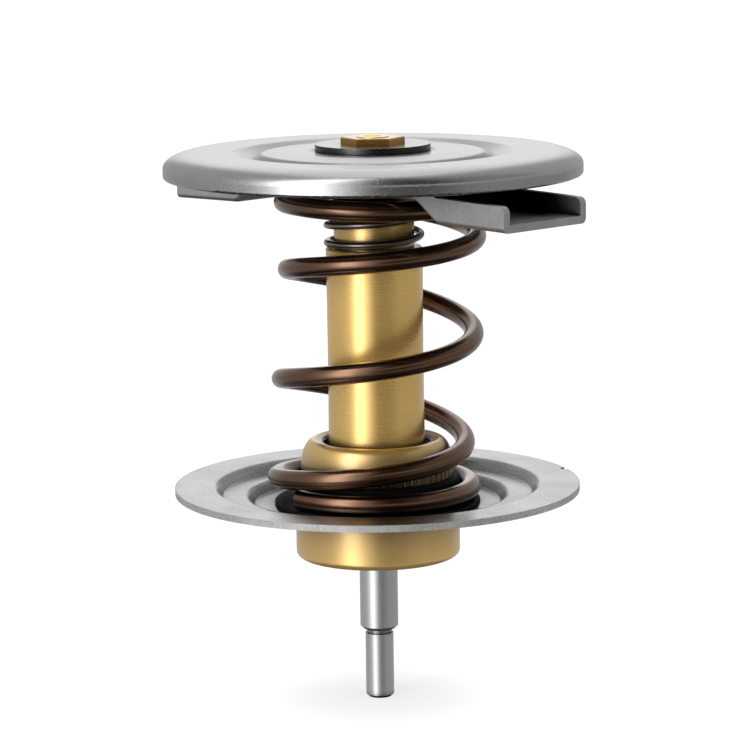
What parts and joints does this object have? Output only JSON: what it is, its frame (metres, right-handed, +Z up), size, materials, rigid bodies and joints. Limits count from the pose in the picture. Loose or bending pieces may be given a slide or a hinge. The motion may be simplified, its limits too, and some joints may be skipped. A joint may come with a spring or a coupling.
{
  "type": "engine thermostat",
  "caption": "Wax-element engine thermostat insert: valve plate on a brass head, coil spring, crossbar, sprung bypass disc and stepped piston.",
  "frame": {"origin": "middle of the piston's tip, at the lowest point of the part", "axes": "+Z up the common axis from the piston's tip to the bypass disc, X along the crossbar"},
  "size_m": [0.0606, 0.054, 0.074],
  "materials": {
    "ground_steel": "ground steel",
    "brass": "fine-turned brass",
    "brass_tube": "satin drawn brass",
    "brass_nut": "machined brass",
    "white_polymer": "white low-friction polymer",
    "rubber": "matt black rubber",
    "wax": "wax mixed with copper powder",
    "valve_steel": "satin pressed stainless steel",
    "disc_steel": "satin pressed stainless steel",
    "bar_steel": "satin pressed stainless steel",
    "washer_steel": "polished steel",
    "bronzed_wire": "brown oxide finish on spring wire",
    "dark_wire": "dark drawn spring wire"
  },
  "bodies": {
    "crossbar": {"crossbar": "bar_steel", "main_spring": "bronzed_wire"},
    "bypass_valve": {"bypass_disc": "disc_steel"},
    "wax_element": {"capsule": "brass_tube", "guide_head": "brass", "rubber_sleeve": "rubber", "backup_ring": "white_polymer", "wax_charge": "wax", "valve_plate": "valve_steel", "seal_ring": "rubber", "bypass_spring": "dark_wire", "neck_washer": "washer_steel", "hex_nut": "brass_nut"},
    "piston": {"piston": "ground_steel"}
  },
  "joints": [
    {"name": "valve_opening", "type": "slide", "parent": "crossbar", "child": "bypass_valve", "axis": [0, 0, 1], "range_m": [0, 0.01], "stiffness_N_per_m": 3500, "springref_m": -0.008, "deforming": ["main_spring"]},
    {"name": "bypass_over_travel", "type": "slide", "parent": "bypass_valve", "child": "wax_element", "axis": [0, 0, 1], "range_m": [0, 0.003], "stiffness_N_per_m": 1500, "springref_m": -0.004, "deforming": ["bypass_spring"]},
    {"name": "piston_extension", "type": "slide", "parent": "wax_element", "child": "piston", "axis": [0, 0, -1], "range_m": [0, 0.01]}
  ]
}
